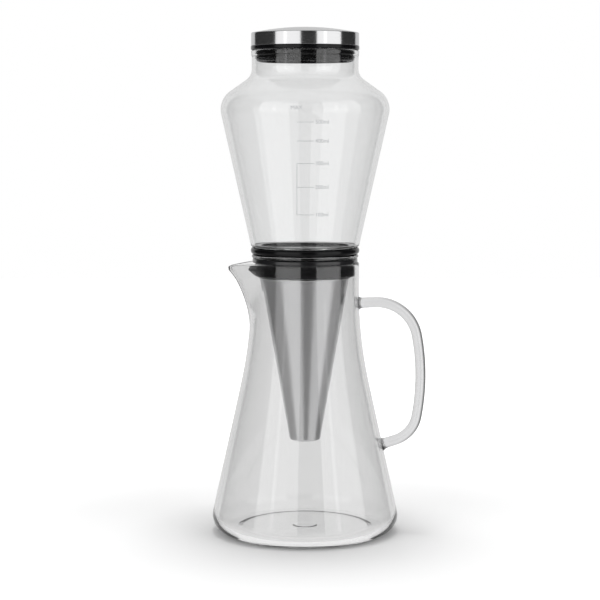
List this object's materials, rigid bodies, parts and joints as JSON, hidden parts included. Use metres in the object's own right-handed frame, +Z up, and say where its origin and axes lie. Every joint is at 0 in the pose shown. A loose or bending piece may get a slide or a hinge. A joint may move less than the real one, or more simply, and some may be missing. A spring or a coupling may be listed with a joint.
{
  "type": "cold brew coffee maker",
  "caption": "Tall drip coffee maker: flared glass carafe with rod handle and spout, steel cone filter in its neck, tapered glass water tower with a drip valve on top, and a domed steel lid.",
  "frame": {"origin": "on the common axis of carafe, filter and tower, at the flat foot the carafe stands on", "axes": "+Z up along the axis, +X toward the handle, the spout toward -X"},
  "size_m": [0.145, 0.1262, 0.3405],
  "materials": {
    "clear_glass": "clear borosilicate glass",
    "brushed_steel": "fine brushed stainless steel",
    "steel_mesh": "fine woven stainless mesh",
    "valve_steel": "turned stainless steel",
    "black_silicone": "satin silicone rubber",
    "black_plastic": "glossy moulded plastic"
  },
  "bodies": {
    "carafe": {"carafe_glass": "clear_glass", "carafe_handle": "clear_glass"},
    "filter": {"filter_flange": "black_plastic", "filter_seal": "black_silicone", "filter_cone": "brushed_steel", "filter_mesh": "steel_mesh", "filter_tip_cap": "brushed_steel"},
    "tower": {"tower_glass": "clear_glass", "tower_ring": "black_silicone", "tower_plug": "black_silicone", "valve_body": "valve_steel", "valve_washer": "black_silicone", "valve_clip": "valve_steel", "drip_nozzle": "valve_steel"},
    "knob": {"valve_knob": "black_plastic"},
    "needle": {"valve_needle": "valve_steel", "needle_pin": "valve_steel", "needle_seal": "black_silicone"},
    "lid": {"lid_cap": "brushed_steel", "lid_core": "black_plastic", "lid_gasket": "black_silicone"}
  },
  "joints": [
    {"name": "filter_lift", "type": "slide", "parent": "carafe", "child": "filter", "axis": [0, 0, 1], "range_m": [0, 0.14]},
    {"name": "tower_lift", "type": "slide", "parent": "filter", "child": "tower", "axis": [0, 0, 1], "range_m": [0, 0.05]},
    {"name": "knob_turn", "type": "hinge", "parent": "tower", "child": "knob", "pos_m": [0, 0, 0.177], "axis": [0, 0, 1], "range_deg": [0, 270]},
    {"name": "needle_travel", "type": "slide", "parent": "tower", "child": "needle", "axis": [0, 0, -1], "range_m": [0, 0.0015]},
    {"name": "lid_lift", "type": "slide", "parent": "tower", "child": "lid", "axis": [0, 0, 1], "range_m": [0, 0.04]}
  ],
  "couplings": [
    {"joint": "needle_travel", "follows": "knob_turn", "m_per_rad": 0.00031831}
  ]
}
